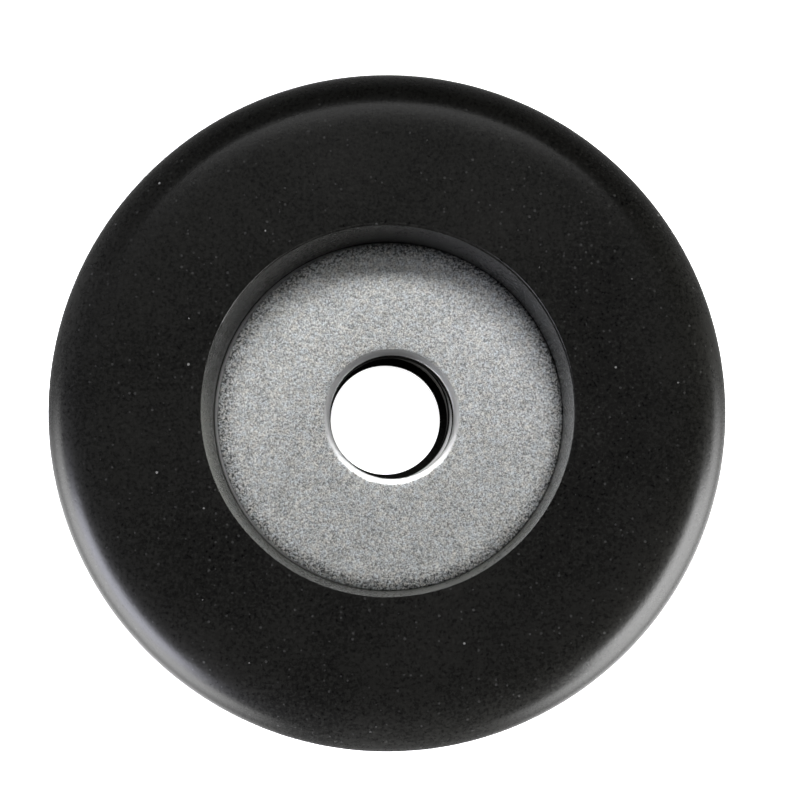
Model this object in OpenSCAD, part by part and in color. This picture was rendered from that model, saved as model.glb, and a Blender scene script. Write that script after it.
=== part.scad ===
// Rubber-covered holding magnet with a through bore for an eyebolt.
// The bore runs along Z. The back face rests on Z = 0 and the working face looks along +Z.
// Twelve disc magnets stand in a carrier on a steel back plate, around a steel hub.
// A moulded rubber cover wraps everything except the front of the steel hub.

/* [Rubber cover] */
// Outside diameter of the whole magnet
cover_d = 80; // [79.5:0.5:86]
// Thickness from the back face to the working face
body_h = 22.5; // [22.4:0.1:24]
// Radius of the rounded edge of the working face
front_edge_r = 3.8; // [1:0.1:3.8]
// Radius of the rounded edge of the back face
back_edge_r = 1.5; // [0.5:0.1:2]
// Thickness of the rubber over the back plate
back_skin = 1; // [0.6:0.1:1.5]
// Diameter of the hole in the rubber over the back plate
skin_hole_d = 13.5; // [12.5:0.1:14.4]
// Diameter of the recess where it breaks the working face
recess_top_d = 43.9; // [43.2:0.1:45]
// Diameter of the recess where it meets the steel hub
recess_floor_d = 42; // [41.9:0.1:42.4]
// Radius of the lip around the mouth of the recess
recess_lip_r = 0.2; // [0.1:0.05:0.4]

/* [Steel] */
// Diameter of the bore through the steel hub and the back plate
bore_d = 15; // [14.5:0.1:16]
// Width of the shallow roll round the mouth of the bore
mouth_roll_w = 0.8; // [0.4:0.05:1.2]
// Depth of the roll round the mouth of the bore
mouth_roll_d = 0.2; // [0.1:0.05:0.4]
// Diameter of the steel hub
hub_d = 41.8; // [40:0.1:41.8]
// Height of the steel hub
hub_h = 6.5; // [5:0.1:9]
// Width of the shallow roll along the front rim of the steel hub
hub_roll_w = 1.4; // [1:0.1:2.5]
// Depth of the roll along the front rim of the steel hub
hub_roll_d = 0.2; // [0.1:0.05:0.6]
// Diameter of the back plate
plate_d = 73.9; // [73:0.1:74.5]
// Thickness of the back plate
plate_h = 5; // [4:0.1:5.5]
// Chamfer on the edges of the steel parts
steel_chamfer = 0.4; // [0.2:0.1:0.8]

/* [Magnets] */
// Diameter of one disc magnet
magnet_d = 12; // [10:0.1:12]
// Height of one disc magnet
magnet_h = 15; // [13:0.1:15]
// Chamfer on the plated edges of a magnet
magnet_chamfer = 0.35; // [0.2:0.05:0.6]
// Radius of the circle that the magnets stand on
magnet_circle_r = 30.2; // [30:0.1:30.4]
// Clearance between a magnet and its pocket, measured on the diameter
pocket_clearance = 0.1; // [0.05:0.01:0.2]

/* [Carrier] */
// Inside diameter of the magnet carrier
carrier_id = 46.8; // [46:0.1:47]
// Outside diameter of the magnet carrier
carrier_od = 73.9; // [73.8:0.1:74.5]
// Width of the lead-in chamfer at the mouth of each pocket
pocket_lead = 0.25; // [0.1:0.05:0.3]

/* [Hidden] */
$fn = 96;
magnet_count = 12;                    // one node for each
fit_gap = 0.05;                       // radial gap left round the parts inside the rubber
eps = 0.01;
cover_r = cover_d / 2;
plate_z = back_skin;                  // underside of the back plate
carrier_z = plate_z + plate_h;        // top of the back plate, where the hub and magnets stand
hub_top = carrier_z + hub_h;          // front face of the steel hub
magnet_top = carrier_z + magnet_h;    // top of the magnets and of their carrier
black = [0.05, 0.05, 0.05];
zinc = [0.66, 0.67, 0.69];
nickel = [0.78, 0.77, 0.74];
nylon = [0.86, 0.85, 0.80];

// Turns a half section, drawn as radius against height, about the bore's axis.
module turned() {
    rotate_extrude($fn = 180) children();
}

// A box section from [x0, y0] to [x1, y1].
module box_section(x0, y0, x1, y1) {
    translate([x0, y0]) square([x1 - x0, y1 - y0]);
}

// Outer form of the cover: a thick disc whose two outside corners are rounded.
module cover_outline() {
    union() {
        polygon([[0, 0], [cover_r - back_edge_r, 0], [cover_r, back_edge_r],
                 [cover_r, body_h - front_edge_r], [cover_r - front_edge_r, body_h], [0, body_h]]);
        translate([cover_r - front_edge_r, body_h - front_edge_r]) circle(front_edge_r);
        translate([cover_r - back_edge_r, back_edge_r]) circle(back_edge_r);
    }
}

// The open centre of the cover: the hub's seat and the flared recess above it.
module cover_mouth() {
    top = recess_top_d / 2;
    floor_r = recess_floor_d / 2;
    polygon([[0, carrier_z - eps], [floor_r, carrier_z - eps], [floor_r, hub_top],
             [top - recess_lip_r * 0.3, body_h - recess_lip_r],
             [top + recess_lip_r * 0.25, body_h - recess_lip_r * 0.3],
             [top + recess_lip_r, body_h], [top + recess_lip_r, body_h + 1], [0, body_h + 1]]);
}

module rubber_cover() {
    color(black)
    turned()
    difference() {
        cover_outline();
        box_section(-1, -1, skin_hole_d / 2, plate_z + eps);
        box_section(-1, plate_z, plate_d / 2 + fit_gap, carrier_z);
        box_section(carrier_id / 2 - fit_gap, carrier_z - eps, carrier_od / 2 + fit_gap, magnet_top);
        cover_mouth();
    }
}

module back_plate() {
    c = steel_chamfer;
    r0 = bore_d / 2;
    r1 = plate_d / 2;
    z0 = plate_z;
    z1 = carrier_z;
    color(zinc)
    turned()
    polygon([[r0, z0], [r1 - c, z0], [r1, z0 + c], [r1, z1 - c], [r1 - c, z1], [r0, z1]]);
}

// A thick washer blanked from plate: both front edges roll down a little, as a punched edge does; the back rim is chamfered.
module centre_hub() {
    c = steel_chamfer;
    r0 = bore_d / 2;
    r1 = hub_d / 2;
    color(zinc)
    turned()
    polygon([[r0, carrier_z], [r1 - c, carrier_z], [r1, carrier_z + c], [r1, hub_top - hub_roll_d],
             [r1 - hub_roll_w, hub_top], [r0 + mouth_roll_w, hub_top], [r0, hub_top - mouth_roll_d]]);
}

// Ring of nylon with a pocket for each magnet, so that neighbours cannot slide together.
module magnet_carrier() {
    pocket_r = (magnet_d + pocket_clearance) / 2;
    color(nylon)
    difference() {
        translate([0, 0, carrier_z]) cylinder(r = carrier_od / 2, h = magnet_h, $fn = 180);
        translate([0, 0, carrier_z - 1]) cylinder(r = carrier_id / 2, h = magnet_h + 2, $fn = 180);
        for (i = [0 : magnet_count - 1]) rotate([0, 0, i * 360 / magnet_count])
            translate([magnet_circle_r, 0, carrier_z]) {
                translate([0, 0, -1]) cylinder(r = pocket_r, h = magnet_h + 2);
                translate([0, 0, magnet_h - pocket_lead])
                    cylinder(r1 = pocket_r, r2 = pocket_r + pocket_lead, h = pocket_lead + eps);
            }
    }
}

// One nickel-plated disc, numbered from 1 round the circle.
module disc_magnet(number) {
    c = magnet_chamfer;
    r = magnet_d / 2;
    color(nickel)
    rotate([0, 0, (number - 1) * 360 / magnet_count])
    translate([magnet_circle_r, 0, carrier_z])
    rotate_extrude()
    polygon([[0, 0], [r - c, 0], [r, c], [r, magnet_h - c], [r - c, magnet_h], [0, magnet_h]]);
}

rubber_cover();
back_plate();
centre_hub();
magnet_carrier();
disc_magnet(1);  // magnet_01
disc_magnet(2);  // magnet_02
disc_magnet(3);  // magnet_03
disc_magnet(4);  // magnet_04
disc_magnet(5);  // magnet_05
disc_magnet(6);  // magnet_06
disc_magnet(7);  // magnet_07
disc_magnet(8);  // magnet_08
disc_magnet(9);  // magnet_09
disc_magnet(10);  // magnet_10
disc_magnet(11);  // magnet_11
disc_magnet(12);  // magnet_12
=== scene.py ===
import bpy
import math
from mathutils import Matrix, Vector


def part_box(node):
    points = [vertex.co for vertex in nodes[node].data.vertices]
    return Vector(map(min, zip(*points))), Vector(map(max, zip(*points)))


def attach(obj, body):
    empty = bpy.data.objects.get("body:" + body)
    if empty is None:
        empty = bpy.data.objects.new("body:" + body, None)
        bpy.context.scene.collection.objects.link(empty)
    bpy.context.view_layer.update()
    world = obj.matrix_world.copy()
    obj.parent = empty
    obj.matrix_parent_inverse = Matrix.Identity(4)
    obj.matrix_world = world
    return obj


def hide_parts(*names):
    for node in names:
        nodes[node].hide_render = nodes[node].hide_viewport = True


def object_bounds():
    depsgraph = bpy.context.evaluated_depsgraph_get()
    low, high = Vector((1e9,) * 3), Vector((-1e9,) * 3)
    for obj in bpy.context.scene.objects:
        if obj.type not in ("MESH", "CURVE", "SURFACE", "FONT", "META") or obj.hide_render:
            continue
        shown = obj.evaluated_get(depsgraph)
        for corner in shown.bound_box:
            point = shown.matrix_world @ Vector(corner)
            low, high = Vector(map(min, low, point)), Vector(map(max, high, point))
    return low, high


MM = 0.001
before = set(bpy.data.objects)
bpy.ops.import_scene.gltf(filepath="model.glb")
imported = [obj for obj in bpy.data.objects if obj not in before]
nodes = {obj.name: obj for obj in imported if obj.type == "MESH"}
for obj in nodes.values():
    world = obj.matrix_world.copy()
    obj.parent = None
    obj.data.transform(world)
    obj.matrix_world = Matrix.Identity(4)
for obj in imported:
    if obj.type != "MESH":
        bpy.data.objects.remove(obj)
cad_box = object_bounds()


# ---------------------------------------------------------------- node helpers

def material(name):
    m = bpy.data.materials.new(name)
    m.use_nodes = True
    m.node_tree.nodes.clear()
    return m


class Graph:
    """A thin wrapper that makes and links shader nodes in one call."""

    def __init__(self, tree):
        self.tree = tree

    def add(self, kind, inputs=None, **props):
        n = self.tree.nodes.new(kind)
        for key, value in props.items():
            setattr(n, key, value)
        for key, value in (inputs or {}).items():
            self.put(n.inputs[key], value)
        return n

    def put(self, socket, value):
        if isinstance(value, bpy.types.NodeSocket):
            self.tree.links.new(value, socket)
        else:
            socket.default_value = value

    def math(self, op, a, b=0.0, c=0.0, clamp=False):
        n = self.add("ShaderNodeMath", operation=op, use_clamp=clamp)
        for i, v in enumerate((a, b, c)):
            self.put(n.inputs[i], v)
        return n.outputs[0]

    def remap(self, value, a, b, lo=0.0, hi=1.0, smooth=False):
        n = self.add("ShaderNodeMapRange", {"Value": value, "From Min": a, "From Max": b, "To Min": lo, "To Max": hi})
        n.interpolation_type = "SMOOTHSTEP" if smooth else "LINEAR"
        return n.outputs[0]

    def noise(self, coords, scale, detail=2.0, rough=0.5, distort=0.0):
        n = self.add("ShaderNodeTexNoise", {"Vector": coords, "Scale": scale, "Detail": detail,
                                            "Roughness": rough, "Distortion": distort})
        return n.outputs["Fac"]

    def cells(self, coords, scale, randomness=1.0):
        n = self.add("ShaderNodeTexVoronoi", {"Vector": coords, "Scale": scale, "Randomness": randomness})
        return n.outputs["Distance"], n.outputs["Color"]

    def mix(self, fac, a, b):
        n = self.add("ShaderNodeMix", data_type="RGBA")
        self.put(n.inputs[0], fac)
        self.put(n.inputs[6], a)
        self.put(n.inputs[7], b)
        return n.outputs[2]

    def finish(self, shader):
        out = self.add("ShaderNodeOutputMaterial")
        self.tree.links.new(shader, out.inputs["Surface"])


def grey(v, a=1.0):
    return (v, v, v, a)


# ---------------------------------------------------------------- materials

def rubber_material():
    m = material("moulded_rubber")
    g = Graph(m.node_tree)
    pos = g.add("ShaderNodeTexCoord").outputs["Object"]
    cloud = g.noise(pos, 55.0, 3.0, 0.55)
    fine = g.noise(pos, 2300.0, 2.0, 0.6)
    grain = g.noise(pos, 4200.0, 2.0, 0.6)
    # dust: sparse pale specks, each cell keeps one only if its random value is high
    d1, c1 = g.cells(pos, 560.0)
    pick1 = g.add("ShaderNodeSeparateColor", {"Color": c1})
    size1 = g.remap(pick1.outputs["Green"], 0.0, 1.0, 0.03, 0.09)
    speck1 = g.math("MULTIPLY", g.math("LESS_THAN", d1, size1), g.math("GREATER_THAN", pick1.outputs["Red"], 0.90))
    # and much finer, fainter dust nearly everywhere
    d2, c2 = g.cells(pos, 1500.0)
    pick2 = g.add("ShaderNodeSeparateColor", {"Color": c2})
    size2 = g.remap(pick2.outputs["Green"], 0.0, 1.0, 0.10, 0.26)
    speck2 = g.math("MULTIPLY", g.math("LESS_THAN", d2, size2), g.math("GREATER_THAN", pick2.outputs["Red"], 0.72))
    tone = g.remap(g.math("ADD", g.math("MULTIPLY", cloud, 0.25), g.math("MULTIPLY", g.math("ADD", fine, grain), 0.375)), 0.34, 0.66)
    base = g.mix(tone, (0.0006, 0.0006, 0.0006, 1.0), (0.0112, 0.0111, 0.0099, 1.0))
    base = g.mix(g.math("MULTIPLY", speck2, g.remap(pick2.outputs["Blue"], 0.0, 1.0, 0.03, 0.13)), base, (0.16, 0.16, 0.155, 1.0))
    base = g.mix(g.math("MULTIPLY", speck1, 0.55), base, (0.22, 0.22, 0.21, 1.0))
    # painted light: the recess wall is made paler towards its lower (-Y) side, which faces the key light, mottled by
    # the cloud noise
    xyz = g.add("ShaderNodeSeparateXYZ", {"Vector": pos})
    span = g.add("ShaderNodeVectorMath", {0: g.add("ShaderNodeVectorMath", {0: pos, 1: (1.0, 1.0, 0.0)}, operation="MULTIPLY").outputs[0]},
                 operation="LENGTH").outputs["Value"]
    wall = g.math("MULTIPLY", g.remap(span, 22.3 * MM, 22.1 * MM), g.remap(xyz.outputs["Z"], 12.0 * MM, 12.4 * MM))
    wall = g.math("MULTIPLY", wall, g.remap(xyz.outputs["Z"], 22.45 * MM, 22.3 * MM))
    painted_wall_light = g.math("MULTIPLY", g.math("MULTIPLY", wall, g.remap(xyz.outputs["Y"], 6.0 * MM, -16.0 * MM)), g.remap(cloud, 0.3, 0.7, 0.6, 1.0))
    # painted light colour for the lit lower side of the recess wall
    base = g.mix(painted_wall_light, base, (0.125, 0.128, 0.115, 1.0))
    rough = g.remap(g.math("ADD", g.math("MULTIPLY", cloud, 0.5), g.math("MULTIPLY", fine, 0.5)), 0.3, 0.7, 0.25, 0.30)
    bump = g.add("ShaderNodeBump", {"Strength": 0.35, "Distance": 0.00002,
                                    "Height": g.math("ADD", grain, g.math("MULTIPLY", fine, 1.5))})
    p = g.add("ShaderNodeBsdfPrincipled", {"Base Color": base, "Roughness": rough, "Normal": bump.outputs[0]})
    p.inputs["IOR"].default_value = 1.165
    g.finish(p.outputs[0])
    return m


def steel_material():
    m = material("zinc_plated_steel_grain")
    g = Graph(m.node_tree)
    pos = g.add("ShaderNodeTexCoord").outputs["Object"]
    flat = g.add("ShaderNodeVectorMath", {0: pos, 1: (1.0, 1.0, 0.0)}, operation="MULTIPLY").outputs[0]
    radius = g.add("ShaderNodeVectorMath", {0: flat}, operation="LENGTH").outputs["Value"]
    wobble = g.math("MULTIPLY", g.math("SUBTRACT", g.noise(pos, 900.0, 2.0, 0.6), 0.5), 0.35 * MM)
    r = g.math("ADD", radius, wobble)
    grained = g.math("MULTIPLY", g.remap(r, 7.92 * MM, 8.2 * MM, smooth=True), g.remap(radius, 20.85 * MM, 20.7 * MM, smooth=True))
    height_z = g.add("ShaderNodeSeparateXYZ", {"Vector": pos}).outputs["Z"]
    # painted shade: below its mouth the bore wall turns to a dark, rough, non-metallic surface, darkening smoothly
    # from 12.45 mm down to 11.2 mm height
    bore_painted_shade = g.math("MULTIPLY", g.remap(radius, 7.75 * MM, 7.65 * MM), g.remap(height_z, 12.45 * MM, 11.2 * MM, smooth=True))
    n1 = g.noise(pos, 6200.0, 2.0, 0.65)
    n2 = g.noise(pos, 2900.0, 2.0, 0.6)
    low = g.noise(pos, 420.0, 3.0, 0.6)
    broad = g.noise(pos, 110.0, 2.0, 0.5)
    speck = g.remap(g.math("ADD", g.math("MULTIPLY", n1, 0.7), g.math("MULTIPLY", n2, 0.3)), 0.37, 0.61)
    value = g.math("ADD", g.math("MULTIPLY", speck, 0.75), g.math("MULTIPLY", low, 0.25))
    rim = g.remap(radius, 18.2 * MM, 20.7 * MM, smooth=True)
    pits = g.remap(g.noise(pos, 3300.0, 2.0, 0.6), 0.50, 0.42)
    value = g.math("SUBTRACT", value, g.math("MULTIPLY", g.math("MULTIPLY", rim, pits), 0.55), clamp=True)
    dark = (0.085, 0.086, 0.087, 1.0)
    tint = g.remap(g.noise(pos, 1500.0, 3.0, 0.6), 0.35, 0.65)
    light = g.mix(tint, (0.985, 0.965, 0.915, 1.0), (0.925, 0.97, 1.0, 1.0))
    grain_col = g.mix(value, dark, light)
    smooth_col = g.mix(broad, (0.86, 0.865, 0.87, 1.0), (0.94, 0.945, 0.95, 1.0))
    col = g.mix(grained, smooth_col, grain_col)
    # painted shade colour down the bore
    col = g.mix(bore_painted_shade, col, (0.012, 0.0115, 0.010, 1.0))
    rough_grain = g.remap(n2, 0.35, 0.65, 0.46, 0.58)
    rough = g.math("ADD", g.math("MULTIPLY", rough_grain, grained),
                   g.math("MULTIPLY", g.math("SUBTRACT", 1.0, grained), 0.42))
    rough = g.math("ADD", rough, g.math("MULTIPLY", bore_painted_shade, 0.4))
    height = g.math("MULTIPLY", g.math("ADD", n1, g.math("MULTIPLY", n2, 0.8)), grained)
    bump = g.add("ShaderNodeBump", {"Strength": 0.6, "Distance": 0.00004, "Height": height})
    p = g.add("ShaderNodeBsdfPrincipled", {"Base Color": col, "Roughness": rough, "Normal": bump.outputs[0]})
    g.put(p.inputs["Metallic"], g.math("SUBTRACT", 1.0, bore_painted_shade))
    p.inputs["IOR"].default_value = 1.15
    g.finish(p.outputs[0])
    return m


def nickel_material():
    m = material("nickel_plate")
    g = Graph(m.node_tree)
    pos = g.add("ShaderNodeTexCoord").outputs["Object"]
    n = g.noise(pos, 900.0, 3.0, 0.6)
    scratch = g.noise(g.add("ShaderNodeMapping", {"Vector": pos, "Scale": (1.0, 14.0, 1.0)}).outputs[0], 700.0, 2.0, 0.5)
    col = g.mix(n, (0.60, 0.57, 0.52, 1.0), (0.72, 0.69, 0.63, 1.0))
    rough = g.remap(g.math("ADD", n, scratch), 0.7, 1.3, 0.12, 0.28)
    p = g.add("ShaderNodeBsdfPrincipled", {"Base Color": col, "Roughness": rough})
    p.inputs["Metallic"].default_value = 1.0
    g.finish(p.outputs[0])
    return m


def nylon_material():
    m = material("natural_nylon")
    g = Graph(m.node_tree)
    pos = g.add("ShaderNodeTexCoord").outputs["Object"]
    n = g.noise(pos, 220.0, 3.0, 0.55)
    fine = g.noise(pos, 2600.0, 2.0, 0.5)
    col = g.mix(n, (0.66, 0.63, 0.54, 1.0), (0.76, 0.74, 0.66, 1.0))
    rough = g.remap(fine, 0.3, 0.7, 0.42, 0.58)
    bump = g.add("ShaderNodeBump", {"Strength": 0.25, "Distance": 0.00003, "Height": fine})
    p = g.add("ShaderNodeBsdfPrincipled", {"Base Color": col, "Roughness": rough, "Normal": bump.outputs[0]})
    g.finish(p.outputs[0])
    return m


# ---------------------------------------------------------------- the rubber cover

def arc(cx, cz, r, a0, a1, n):
    """Points on an arc, angles in degrees from +r towards +z."""
    out = []
    for i in range(n + 1):
        a = math.radians(a0 + (a1 - a0) * i / n)
        out.append((cx + r * math.cos(a), cz + r * math.sin(a)))
    return out


def line(a, b, n):
    """n points after a, up to and including b."""
    return [(a[0] + (b[0] - a[0]) * i / n, a[1] + (b[1] - a[1]) * i / n) for i in range(1, n + 1)]


def smooth01(t):
    t = min(1.0, max(0.0, t))
    return t * t * (3 - 2 * t)


PLATE_BOX, HUB_BOX, CARRIER_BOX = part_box("back_plate"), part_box("centre_hub"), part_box("magnet_carrier")


def cover_profile(rho):
    """Closed half section (radius, height) of the cover in mm, anticlockwise from the back hole; also returns the wall
    foot, the mouth and the height.
    """
    lo, hi = cad_box
    R = (hi.x - lo.x) / 2 / MM
    H = (hi.z - lo.z) / MM
    plate, hub, car = PLATE_BOX, HUB_BOX, CARRIER_BOX
    plate_r = plate[1].x / MM + 0.05
    plate_z0, plate_z1 = plate[0].z / MM, plate[1].z / MM
    seat_r, mouth_r, hub_z = 20.84, 21.94, hub[1].z / MM
    car_r1, car_z1 = car[1].x / MM + 0.05, car[1].z / MM
    car_r0, hole_r = 23.35, 6.68
    pts = []
    pts += arc(hole_r + 0.15, 0.15, 0.15, 180, 270, 4)
    pts += line(pts[-1], (R - 1.5, 0.0), 24)
    pts += arc(R - 1.5, 1.5, 1.5, 270, 360, 12)[1:]
    crown, slope, bend = 32.0, math.radians(10.0), 2.4
    edge_r = R - rho * (1 - math.sin(slope))
    drop = (edge_r - crown) * math.tan(slope) / bend
    side_z = H - drop - rho * math.cos(slope)
    pts += line(pts[-1], (R, side_z), 8)
    pts += arc(R - rho, side_z, rho, 0, 80, 42)[1:]
    for i in range(1, 21):
        t = 1 - i / 20
        pts.append((crown + (edge_r - crown) * t, H - drop * t ** bend))
    pts += line(pts[-1], (mouth_r, H), 28)
    pts += arc(mouth_r, H - 0.1, 0.1, 90, 174, 4)[1:]
    mouth = pts[-1]
    foot = (seat_r, hub_z)
    pts += line(mouth, foot, 24)
    pts += line(pts[-1], (seat_r, plate_z1), 8)
    pts += line(pts[-1], (car_r0, plate_z1), 2)
    pts += line(pts[-1], (car_r0, car_z1), 6)
    pts += line(pts[-1], (car_r1, car_z1), 8)
    pts += line(pts[-1], (plate_r, plate_z0), 8)
    pts += line(pts[-1], (hole_r, plate_z0), 16)
    pts = pts[:]
    return pts, foot, mouth, H


def ring_object(name, verts, n, segs, sharp_deg):
    """A closed ring of segs copies of an n-point section."""
    faces = []
    for j in range(segs):
        k = (j + 1) % segs
        for i in range(n):
            p = (i + 1) % n
            faces.append((j * n + i, k * n + i, k * n + p, j * n + p))
    me = bpy.data.meshes.new(name + "_mesh")
    me.from_pydata(verts, [], faces)
    me.validate()
    for poly in me.polygons:
        poly.use_smooth = True
    me.update()
    me.set_sharp_from_angle(angle=math.radians(sharp_deg))
    ob = bpy.data.objects.new(name, me)
    bpy.context.scene.collection.objects.link(ob)
    return ob


MOUTH_SHIFT = (-0.09, -0.23)
FOOT_SHIFT = (0.20, -0.24)
BACK_SHIFT = (-0.05, -0.11)


def make_cover():
    prof, foot, mouth, H = cover_profile(5.0)
    seat, plate_top = foot[0], PLATE_BOX[1].z / MM
    segs = 384
    verts = []
    for j in range(segs):
        a = 2 * math.pi * j / segs
        ca, sa = math.cos(a), math.sin(a)
        prof = cover_profile(5.0 + 0.7 * (0.5 - 0.5 * sa))[0]
        lip = 0.018 * math.sin(3 * a + 0.7) + 0.012 * math.sin(7 * a + 2.1) + 0.008 * math.sin(13 * a + 4.0)
        for (r, z) in prof:
            dx = dy = dr = 0.0
            if seat - 1e-6 <= r <= mouth[0] + 1e-6 and z > plate_top - 1e-6:
                t = min(1.0, max(0.0, (z - foot[1]) / (mouth[1] - foot[1])))
                dx = FOOT_SHIFT[0] * (1 - t) + MOUTH_SHIFT[0] * t
                dy = FOOT_SHIFT[1] * (1 - t) + MOUTH_SHIFT[1] * t
                dr = lip * t
            elif r < 12.0 and z < 1.0 + 1e-6:
                t = 1 - smooth01((r - 7.0) / 5.0)
                dx, dy = BACK_SHIFT[0] * t, BACK_SHIFT[1] * t
            elif r < 32.0 and z > H - 0.5:
                dr = lip * (1 - smooth01((r - mouth[0]) / 8.0))
            verts.append((((r + dr) * ca + dx) * MM, ((r + dr) * sa + dy) * MM, z * MM))
    return ring_object("moulded_cover", verts, len(prof), segs, 38)


# ---------------------------------------------------------------- the steel hub

BORE_SHIFT = (0.57, -0.31)


def make_hub():
    """The hub as a blanked washer: shallow die roll at its rim and its bore. Its bore is a little off centre."""
    lo, hi = HUB_BOX
    R, z0, z1 = 20.8, lo.z / MM, hi.z / MM
    r0, c, k = 7.39, 0.4, 0.12
    rim_w, rim_d, lip_w, lip_d = 1.9, 0.15, 0.72, 0.17
    pts = [(r0 + c, z0)]
    pts += line(pts[-1], (R - c, z0), 12)
    pts += line(pts[-1], (R, z0 + c), 1)
    pts += line(pts[-1], (R, z1 - rim_d - k), 6)
    pts += arc(R - k, z1 - rim_d - k, k, 0, 72, 5)[1:]
    top = pts[-1]
    for i in range(1, 15):
        t = 1 - i / 14
        pts.append((R - rim_w + (top[0] - R + rim_w) * t, z1 - (z1 - top[1]) * t ** 3))
    pts += line(pts[-1], (r0 + lip_w, z1), 14)
    a0 = math.radians(14.0)
    end = (r0 + k - k * math.sin(a0), z1 - lip_d)
    for i in range(1, 13):
        t = i / 12
        pts.append((r0 + lip_w + (end[0] - r0 - lip_w) * t, z1 - lip_d * (0.4 * t + 0.6 * t * t)))
    pts += arc(r0 + k, z1 - lip_d - k * math.cos(a0), k, 104, 180, 6)[1:]
    # shallow tool marks down the bore wall
    z = pts[-1][1] - 0.1
    pts.append((r0, z))
    while z - 0.5 > z0 + c + 0.1:
        pts.append((r0 + 0.11, z - 0.2))
        pts.append((r0 + 0.11, z - 0.3))
        z -= 0.5
        pts.append((r0, z))
    pts.append((r0, z0 + c))
    segs = 288
    verts = []
    for j in range(segs):
        a = 2 * math.pi * j / segs
        for (r, z) in pts:
            t = smooth01((r - 9.0) / 11.0)
            dx, dy = (FOOT_SHIFT[0] - BORE_SHIFT[0]) * t, (FOOT_SHIFT[1] - BORE_SHIFT[1]) * t
            verts.append(((r * math.cos(a) + dx) * MM, (r * math.sin(a) + dy) * MM, z * MM))
    ob = ring_object("steel_hub", verts, len(pts), segs, 35)
    ob.location = (BORE_SHIFT[0] * MM, BORE_SHIFT[1] * MM, 0.0)
    return ob


rubber = rubber_material()
steel = steel_material()
nickel = nickel_material()
nylon = nylon_material()

cover = make_cover()
cover.data.materials.append(rubber)
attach(cover, "root")
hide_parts("rubber_cover")

hub = make_hub()
hub.data.materials.append(steel)
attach(hub, "root")
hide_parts("centre_hub")

for name, ob in nodes.items():
    if name in ("rubber_cover", "centre_hub"):
        continue
    mat = nickel if name.startswith("magnet_0") or name.startswith("magnet_1") else nylon if name == "magnet_carrier" else steel
    if not ob.material_slots:
        ob.data.materials.append(mat)
    for s in ob.material_slots:
        s.material = mat


# ---------------------------------------------------------------- stage, lights and camera

def make_floor():
    me = bpy.data.meshes.new("floor_mesh")
    s, z = 3.0, -0.0002
    me.from_pydata([(-s, -s, z), (s, -s, z), (s, s, z), (-s, s, z)], [], [(0, 1, 2, 3)])
    ob = bpy.data.objects.new("studio_floor", me)
    bpy.context.scene.collection.objects.link(ob)
    m = material("studio_floor_white")
    g = Graph(m.node_tree)
    p = g.add("ShaderNodeBsdfPrincipled", {"Base Color": grey(0.88), "Roughness": 0.9})
    p.inputs["Specular IOR Level"].default_value = 0.0
    p.inputs["Emission Color"].default_value = grey(1.0)
    p.inputs["Emission Strength"].default_value = 1.0
    g.finish(p.outputs[0])
    me.materials.append(m)
    ob.visible_glossy = False
    return ob


def make_backdrop():
    """A pale wall round the stage, seen by the camera only, so that low views don't end in darkness."""
    n, r, h = 64, 3.0, 3.0
    ring = [(r * math.cos(2 * math.pi * i / n), r * math.sin(2 * math.pi * i / n)) for i in range(n)]
    verts = [(x, y, -h) for x, y in ring] + [(x, y, h) for x, y in ring]
    me = bpy.data.meshes.new("backdrop_mesh")
    me.from_pydata(verts, [], [(i, n + i, n + (i + 1) % n, (i + 1) % n) for i in range(n)])
    ob = bpy.data.objects.new("studio_backdrop", me)
    bpy.context.scene.collection.objects.link(ob)
    m = material("studio_backdrop_pale")
    g = Graph(m.node_tree)
    g.finish(g.add("ShaderNodeEmission", {"Color": grey(0.9), "Strength": 1.0}).outputs[0])
    me.materials.append(m)
    ob.visible_glossy = ob.visible_diffuse = ob.visible_shadow = False


def make_light(name, where, aim, size, radiance, size_y=None, shape="RECTANGLE"):
    d = bpy.data.lights.new(name, "AREA")
    d.shape = shape
    d.size = size
    if size_y is not None:
        d.size_y = size_y
    area = size * (size_y if size_y is not None else size)
    if shape in ("DISK", "ELLIPSE"):
        area *= math.pi / 4
    d.energy = radiance * area * math.pi
    o = bpy.data.objects.new(name, d)
    o.location = where
    o.rotation_mode = "QUATERNION"
    o.rotation_quaternion = (Vector(where) - Vector(aim)).to_track_quat("Z", "Y")
    bpy.context.scene.collection.objects.link(o)
    return o


def ring_spot(azimuth, distance, height):
    """A point beside the object: azimuth in degrees from +X towards +Y, distance and height in metres."""
    a = math.radians(azimuth)
    return (distance * math.cos(a), distance * math.sin(a), height)


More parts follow.
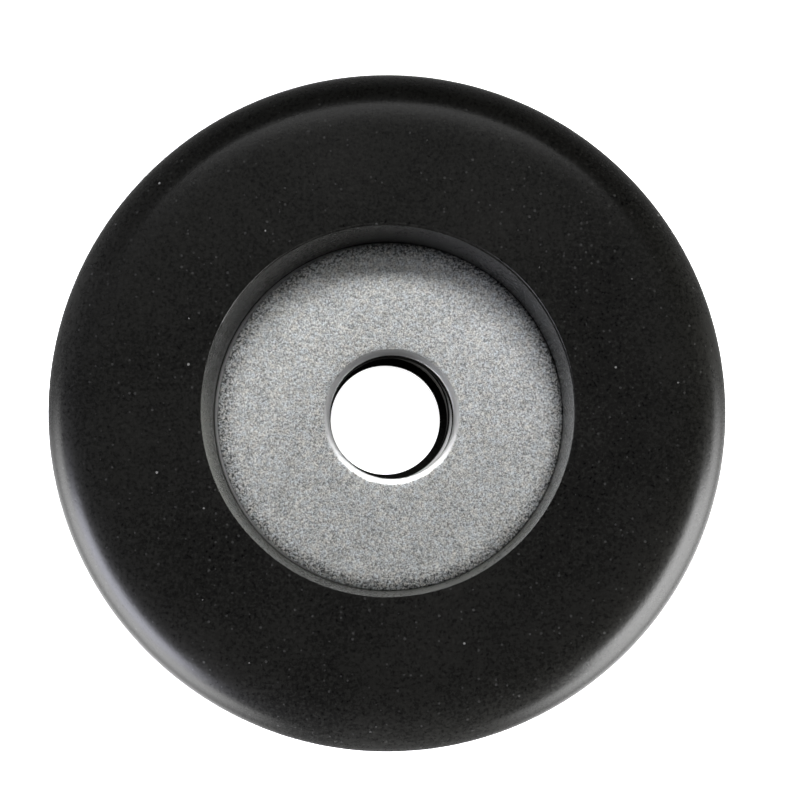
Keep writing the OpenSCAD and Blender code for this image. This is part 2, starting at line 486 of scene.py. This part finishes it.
make_floor()
make_backdrop()
make_light("key_top", (0.0, 0.4038, 0.7225), (0.0, 0.4038, 0.0), 0.56, 14.0, size_y=0.1547)
make_light("fill_axis", (0.0, 0.18, 0.7225), (0.0, 0.18, 0.0), 0.4, 0.9, size_y=0.16)
make_light("side_left", (-0.31, 0.11, 0.7225), (-0.31, 0.11, 0.0), 0.2, 0.25, size_y=0.3)
make_light("side_right", (0.31, 0.11, 0.7225), (0.31, 0.11, 0.0), 0.2, 0.2, size_y=0.3)
make_light("soft_lower_left", ring_spot(213, 0.5, 0.1075), (0.0, 0.0, 0.1075), 0.36, 52.0, size_y=0.185).data.color = (0.97, 0.98, 1.11)
make_light("soft_lower_right", ring_spot(-30, 0.5, 0.1045), (0.0, 0.0, 0.1045), 0.36, 54.0, size_y=0.179)
make_light("soft_upper_left", ring_spot(213, 0.5, 0.33), (0.0, 0.0, 0.33), 0.36, 1.3, size_y=0.17)
make_light("soft_upper_right", ring_spot(-30, 0.5, 0.33), (0.0, 0.0, 0.33), 0.36, 1.3, size_y=0.17)

world = bpy.data.worlds.new("studio_air")
bpy.context.scene.world = world
world.use_nodes = True
g = Graph(world.node_tree)
way = g.add("ShaderNodeTexCoord").outputs["Generated"]
tilt = g.add("ShaderNodeSeparateXYZ", {"Vector": way}).outputs["Z"]
level = g.add("ShaderNodeVectorMath", {0: g.add("ShaderNodeVectorMath", {0: way, 1: (1.0, 1.0, 0.0)}, operation="MULTIPLY").outputs[0]},
              operation="NORMALIZE").outputs[0]
glow = []
for azimuth in (213, -30):
    a = math.radians(azimuth)
    along = g.add("ShaderNodeVectorMath", {0: level, 1: (math.cos(a), math.sin(a), 0.0)}, operation="DOT_PRODUCT").outputs["Value"]
    glow.append(g.remap(along, 0.76, 0.98, smooth=True))
under = g.mix(g.remap(tilt, -0.02, -0.605), grey(38.0), grey(3.0))
low = g.mix(g.math("MAXIMUM", glow[0], glow[1]), grey(0.42), under)
air = g.mix(g.remap(tilt, 0.02, -0.08, smooth=True), grey(0.03), low)
g.put(world.node_tree.nodes["Background"].inputs[0], air)
world.node_tree.nodes["Background"].inputs[1].default_value = 1.0

cam_data = bpy.data.cameras.new("camera")
cam_data.sensor_width = 36.0
cam_data.lens = 166.55
cam_data.dof.use_dof = False
cam_data.clip_start = 0.01
cam_data.clip_end = 20.0
cam = bpy.data.objects.new("camera", cam_data)
bpy.context.scene.collection.objects.link(cam)
cam.location = Vector((-5.877, -23.845, 453.576)) * MM
aim = Vector((1.396, 1.106, 22.5)) * MM
fwd = (aim - cam.location).normalized()
right = fwd.cross(Vector((0, 1, 0))).normalized()
up = right.cross(fwd)
from mathutils import Matrix
cam.rotation_mode = "QUATERNION"
cam.rotation_quaternion = Matrix((right, up, -fwd)).transposed().to_quaternion()
bpy.context.scene.camera = cam
bpy.context.scene.view_settings.view_transform = "Standard"
bpy.context.scene.view_settings.look = "None"
